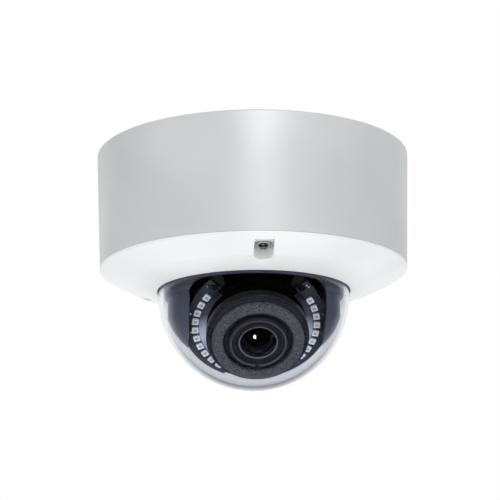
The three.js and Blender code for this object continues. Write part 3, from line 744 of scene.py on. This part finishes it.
def lens_shroud():
    """Wall around the lens: a satin rim in front, on a neck whose near-total black, which takes all light, is
    painted shade for the dark hollow behind the rim.
    """
    bottom, middle = FACE_S + 0.3, 27.6
    recess = FOAM_OUTER + 0.3
    rim = turned("rim", rounded([
        (recess, middle), (SHROUD_R, middle), (SHROUD_R, SHROUD_S - 1.9, 0.4),
        (SHROUD_R - 0.8, SHROUD_S - 1.6, 0.2), (SHROUD_R - 1.0, SHROUD_S, 0.35), (recess, SHROUD_S, 0.25),
    ]), 160)
    neck = turned("neck", [
        (PLATE_BORE_R, bottom), (SKIRT_R, bottom), (SKIRT_R, bottom + 1.2), (SHROUD_R - 0.3, 22),
        (SHROUD_R - 0.3, middle), (recess, middle), (recess, 26.7), (PLATE_BORE_R, 26.7),
    ], 160)
    piece = joined("shroud", [painted(rim, SHROUD_BLACK), painted(neck, NECK_PAINTED_SHADE)])
    return finish_piece(aimed(piece), "tilt_stage", "liner_plastic", ["lens_shroud"])


def led_reflector(side, name):
    """Cone between a row of LEDs and the shroud. Its foot follows the row, which lies a little lower."""
    start, end, steps = -74, 46, 72
    foot, top = LED_BOARD_TOP + 0.1, LED_BOARD_TOP + 2.8
    inner_r, foot_r, top_r = 21.5, 25.6, 23.4
    verts, faces = [], []
    for k in range(steps + 1):
        x, y = on_circle(1, start + (end - start) * k / steps)
        wide_x, wide_y = foot_r * x, foot_r * y + LED_CENTRE_Y
        verts += [
            (inner_r * x, inner_r * y, foot), (wide_x, wide_y, foot), (wide_x, wide_y, foot + 0.2),
            (top_r * x, top_r * y, top), (inner_r * x, inner_r * y, top),
        ]
    size = 5
    for k in range(steps):
        for i in range(size):
            j = (i + 1) % size
            faces.append([size * k + i, size * k + j, size * (k + 1) + j, size * (k + 1) + i])
    faces += [list(range(size)), list(range(size * steps, size * (steps + 1)))]
    piece = soft_shade(mesh_object(name, verts, faces))
    if side < 0:
        piece.data.transform(Matrix.Scale(-1, 4, (1, 0, 0)))
        piece.data.flip_normals()
    return finish_piece(aimed(piece), "tilt_stage", "liner_plastic", [], CONE_PAINTED_REFLECTION)


def foam_ring():
    outline = rounded([
        (FOAM_INNER, FOAM_BACK, 0.3), (FOAM_OUTER, FOAM_BACK, 0.3), (FOAM_OUTER, FOAM_FRONT - 0.9, 0.8),
        (FOAM_OUTER - 0.9, FOAM_FRONT, 0.8), (FOAM_INNER + 0.6, FOAM_FRONT, 0.5),
        (FOAM_INNER, FOAM_FRONT - 0.6, 0.4),
    ])
    return finish_piece(aimed(turned("foam_seal", outline, 160)), "tilt_stage", "foam", ["foam_ring"])


def lens_barrel():
    """Barrel with a bevelled front ring, a groove, and a ring that holds the glass. Both have pale edges, which
    are painted highlights in their colour.
    """
    front = BARREL_S
    outline = rounded([
        (6, -9.2), (12, -9.2, 0.2), (12, 2.3), (13, 2.3, 0.2), (13, 22, 0.3), (BARREL_R, 23, 0.4),
        (BARREL_R, 33.6, 0.3), (13.3, 33.7, 0.2), (13.3, front - 0.5, 0.3), (12.6, front, 0.3),
        (11.5, front - 0.2, 0.25), (11.2, front - 1.4, 0.2), (10.2, front - 1.4, 0.3),
        (9.2, front - 0.75, 0.3), (9.0, front - 1.0, 0.1), (8.75, front - 0.5, 0.15),
        (8.25, front - 0.6, 0.15), (8.05, front - 1.2, 0.1),
        (8.05, GLASS_S - 1), (6, GLASS_S - 1),
    ])
    piece = turned("barrel", outline, 160)
    notch = (-0.9, -13.4, front - 1.2), (0.9, -11.1, front + 1)
    piece = painted(cut(piece, box_piece("notch", *notch)), LENS_BLACK)
    # The bevel and the ring carry painted highlights in their pale colour.
    bevel = turned("bevel", rounded([
        (12.45, front - 0.3), (12.45, front + 0.04, 0.2), (11.62, front - 0.12, 0.2), (11.5, front - 0.6),
    ]), 160)
    bevel = painted(cut(bevel, box_piece("notch", *notch)), BARREL_EDGE_HIGHLIGHT)
    ring = painted(turned("ring", rounded([
        (8.6, front - 0.8), (8.6, front - 0.48, 0.15), (8.12, front - 0.55, 0.15), (8.1, front - 0.9),
    ]), 160), RING_EDGE_HIGHLIGHT)
    piece = aimed(joined("barrel", [piece, bevel, ring]))
    return finish_piece(piece, "lens_module", "lens_black", ["lens_barrel"])


def front_lens():
    """Domed front element, as a solid of glass."""
    rim, bulge, hollow_r, hollow = GLASS_S + 3.5, 2.0, 6.6, 2.2
    angles = [math.radians(degrees) for degrees in range(0, 91, 6)]
    convex = [(GLASS_R * math.sin(t), rim + bulge * math.cos(t)) for t in angles]
    concave = [(hollow_r * math.sin(t), GLASS_S + hollow * math.cos(t)) for t in reversed(angles)]
    piece = turned("front_glass", convex + [(GLASS_R, GLASS_S)] + concave, 96, closed=False)
    return finish_piece(aimed(piece), "lens_module", "lens_glass", ["front_lens"])


def lens_inside():
    """Stepped stops and the next element, seen through the front glass."""
    deep = GLASS_S - 9
    outline = rounded([
        (0, deep + 1.6), (1.6, deep + 1.3, 0.6), (3.0, deep + 0.4, 0.2), (3.2, deep + 2.4, 0.2),
        (3.9, deep + 2.4, 0.15), (4.1, deep + 4.8, 0.15), (4.8, deep + 4.8, 0.15), (5.0, deep + 7.2, 0.15),
        (5.9, deep + 7.2, 0.15), (5.9, deep - 4), (0, deep - 4),
    ], closed=False)
    piece = turned("lens_stops", outline, 96, closed=False)
    return finish_piece(aimed(piece), "lens_module", "lens_black", [], LENS_COATING)


# ---- Carried-over CAD nodes ----


def dress_frame():
    """Every CAD node gets the procedural material of its slot."""
    for entry in frame["record"]["subparts"]:
        node = frame["nodes"][entry["node"]]
        node.data.materials.clear()
        node.data.materials.append(SLOT_MATERIALS[entry["material_slot"]])


# ---- Stage, light and camera ----

FLOOR_Z = -900
FLOOR_R = 6000


def build_stage():
    """A wide pale floor. It is left out of reflections, so that the dome and lens stay clear."""
    floor = mesh_object("floor", [(x, y, FLOOR_Z) for x, y in circle(FLOOR_R, 64)], [list(range(64))])
    floor.data.materials.append(principled("floor_paint", (0.86, 0.86, 0.86), 0.6)[0])
    floor.visible_glossy = floor.visible_transmission = False


def ramp_between(tree, source, start, end, low_value, high_value):
    node = tree.nodes.new("ShaderNodeMapRange")
    node.interpolation_type = "SMOOTHSTEP"
    for key, value in zip(("From Min", "From Max", "To Min", "To Max"), (start, end, low_value, high_value)):
        node.inputs[key].default_value = value
    tree.links.new(source, node.inputs["Value"])
    return node.outputs["Result"]


def either(tree, factor, off, on):
    """One value or another, by a factor. Each value is a number or a socket."""
    node = tree.nodes.new("ShaderNodeMix")
    node.data_type = "FLOAT"
    tree.links.new(factor, node.inputs["Factor"])
    for key, value in (("A", off), ("B", on)):
        if isinstance(value, float):
            node.inputs[key].default_value = value
        else:
            tree.links.new(value, node.inputs[key])
    return node.outputs["Result"]


def build_world():
    """An even white room. In reflections it is white only behind the object, and dark in front and below."""
    world = bpy.data.worlds.new("studio")
    bpy.context.scene.world = world
    world.use_nodes = True
    tree = world.node_tree
    background = tree.nodes["Background"]
    background.inputs["Color"].default_value = (1, 1, 1, 1)
    coordinates = tree.nodes.new("ShaderNodeTexCoord")
    split = tree.nodes.new("ShaderNodeSeparateXYZ")
    tree.links.new(coordinates.outputs["Generated"], split.inputs[0])
    behind = ramp_between(tree, split.outputs["Y"], 0.42, 0.98, 0.005, 1.0)
    level = ramp_between(tree, split.outputs["Z"], -0.35, 0.12, 0.3, 1.0)
    both = tree.nodes.new("ShaderNodeMath")
    both.operation = "MULTIPLY"
    tree.links.new(behind, both.inputs[0])
    tree.links.new(level, both.inputs[1])
    rays = tree.nodes.new("ShaderNodeLightPath")
    room = either(tree, rays.outputs["Is Diffuse Ray"], both.outputs[0], 1.0)
    tree.links.new(either(tree, rays.outputs["Is Camera Ray"], room, 1.0), background.inputs["Strength"])


def area_light(name, place, target, width, height, power, glossy=True):
    light = bpy.data.lights.new(name, "AREA")
    light.shape = "RECTANGLE"
    light.size, light.size_y = width, height
    light.energy = power
    lamp = bpy.data.objects.new(name, light)
    bpy.context.scene.collection.objects.link(lamp)
    lamp.location = place
    lamp.rotation_euler = (Vector(target) - Vector(place)).to_track_quat("-Z", "Y").to_euler()
    lamp.visible_glossy = glossy
    lamp.visible_transmission = False
    return lamp


def build_lights():
    """A soft box in front, a soft one below, and a small one that gives the dome its spark."""
    area_light("front_soft", (0.06, -1.5, 0.75), (0, 0, -0.04), 0.55, 0.9, 8.5)
    area_light("low_soft", (0.02, 0.12, -0.8), (0, 0, -0.06), 1.2, 0.8, 3.5, glossy=False)
    spark = area_light("spark", (-0.022, -0.31, -0.63), (0, -0.04, -0.09), 0.024, 0.03, 0.15)
    spark.visible_transmission = True


def build_camera():
    """The eye is below the object and a little to its left, and looks up at it."""
    azimuth, distance, height = math.radians(-4.1), 0.806, -0.249
    pitch, roll, lens = math.radians(14.25), math.radians(-0.55), 129.2
    data = bpy.data.cameras.new("view")
    data.lens = lens
    data.sensor_width = 36
    eye = bpy.data.objects.new("view", data)
    bpy.context.scene.collection.objects.link(eye)
    turn = Matrix.Rotation(azimuth, 4, "Z")
    place = turn @ Vector((-0.00155, -distance, height))
    look = turn @ Matrix.Rotation(math.pi / 2 + pitch, 4, "X") @ Matrix.Rotation(roll, 4, "Z")
    eye.matrix_world = Matrix.Translation(place) @ look
    bpy.context.scene.camera = eye


build_camera()
dress_frame()
base_shell()
cable_grommet()
conduit_plug()
cover_shell()
for number, screw_angle in enumerate(SCREW_ANGLES, 1):
    button_screw(number, screw_angle)
clear_dome()
liner()
face_plate()
led_board(-1, "leds_left")
led_board(1, "leds_right")
light_sensor()
lens_shroud()
led_reflector(-1, "led_cone_left")
led_reflector(1, "led_cone_right")
foam_ring()
lens_barrel()
front_lens()
lens_inside()
build_stage()
build_world()
build_lights()
bpy.context.scene.view_settings.view_transform = "Standard"
